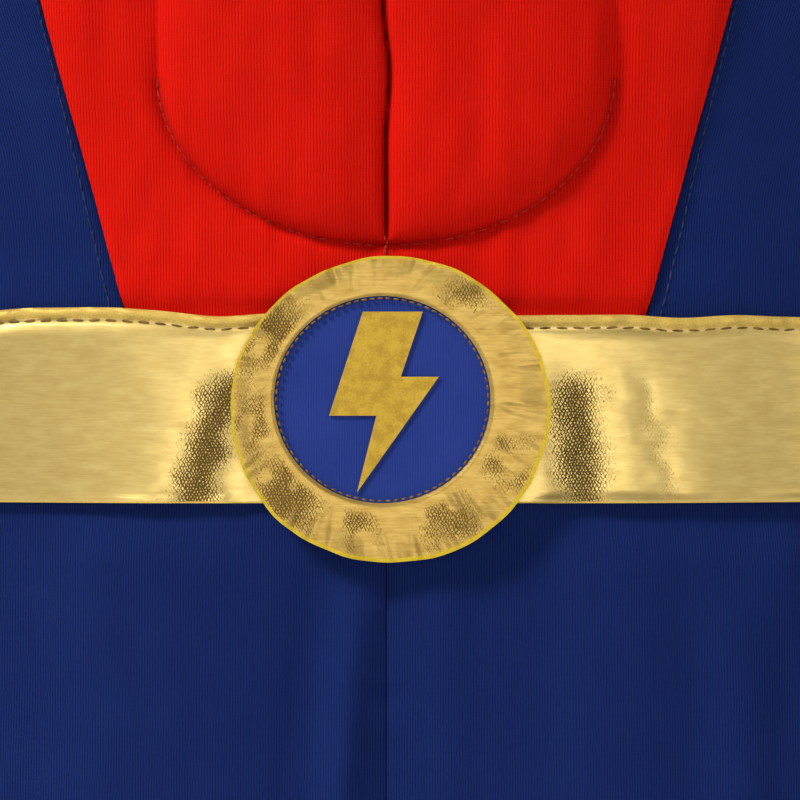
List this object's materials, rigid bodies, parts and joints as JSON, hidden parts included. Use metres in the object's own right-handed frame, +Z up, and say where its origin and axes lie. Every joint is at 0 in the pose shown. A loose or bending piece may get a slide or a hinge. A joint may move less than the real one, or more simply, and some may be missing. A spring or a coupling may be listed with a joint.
{
  "type": "superhero cape",
  "caption": "Child's superhero costume with a flowing lined cape hung from shoulder tabs on a sleeveless padded muscle top, with a gold belt and a round lightning-bolt badge.",
  "frame": {"origin": "middle of the neck opening, level with the inner ends of the shoulder seams, where a neck or a hanger holds the costume up", "axes": "+Z up; the wearer faces -Y, so the cape hangs on the +Y side; +X is the wearer's left"},
  "size_m": [0.511, 0.1972, 0.6565],
  "materials": {
    "red_knit": "brushed polyester knit",
    "navy_knit": "brushed polyester knit",
    "mustard_knit": "plain knit",
    "gold_foil": "metallic foil on knit",
    "blue_disc": "smooth coated cloth",
    "mustard_print": "matte gold print",
    "gold_thread": "sewing thread",
    "red_thread": "sewing thread",
    "black_felt": "needled felt",
    "backing": "plain tricot lining",
    "fibre_padding": "polyester wadding",
    "red_satin": "polyester satin",
    "navy_lining": "polyester lining",
    "hook_tape": "hook-and-loop tape",
    "gold_button": "gold-coloured plastic",
    "label_tape": "satin label tape"
  },
  "bodies": {
    "costume": {"red_front": "red_knit", "front_backing": "backing", "muscle_padding_left": "fibre_padding", "muscle_padding_right": "fibre_padding", "back_panel_left": "navy_knit", "back_panel_right": "navy_knit", "side_panel_left": "navy_knit", "side_panel_right": "navy_knit", "hip_front_left": "navy_knit", "hip_front_right": "navy_knit", "hip_back_left": "navy_knit", "hip_back_right": "navy_knit", "neck_binding": "navy_knit", "armhole_binding_left": "navy_knit", "armhole_binding_right": "navy_knit", "belt_front": "gold_foil", "belt_back": "gold_foil", "belt_front_lining": "mustard_knit", "belt_back_lining": "mustard_knit", "belt_front_stitching": "gold_thread", "belt_back_stitching": "gold_thread", "badge_felt": "black_felt", "badge_disc": "blue_disc", "badge_ring": "gold_foil", "badge_stitching": "gold_thread", "badge_bolt": "mustard_print", "quilting_thread_left": "red_thread", "quilting_thread_right": "red_thread", "loop_pad_left": "hook_tape", "loop_pad_right": "hook_tape", "tab_base_left": "red_satin", "tab_base_right": "red_satin", "care_label": "label_tape"},
    "cape": {"cape_outer": "red_satin", "cape_lining": "navy_lining", "cape_top_binding": "red_satin"},
    "tab_left": {"shoulder_tab_left": "red_satin", "hook_pad_left": "hook_tape", "tab_button_left": "gold_button"},
    "tab_right": {"shoulder_tab_right": "red_satin", "hook_pad_right": "hook_tape", "tab_button_right": "gold_button"}
  },
  "joints": [
    {"name": "cape_swing", "type": "hinge", "parent": "costume", "child": "cape", "pos_m": [0, 0.0265, -0.0085], "axis": [1, 0, 0], "range_deg": [0, 60]},
    {"name": "tab_left_lift", "type": "hinge", "parent": "costume", "child": "tab_left", "pos_m": [0.0883, -0.004, -0.0094], "axis": [-0.9015, 0, 0.4327], "range_deg": [0, 110]},
    {"name": "tab_right_lift", "type": "hinge", "parent": "costume", "child": "tab_right", "pos_m": [-0.0883, -0.004, -0.0094], "axis": [-0.9015, 0, -0.4327], "range_deg": [0, 110]}
  ]
}
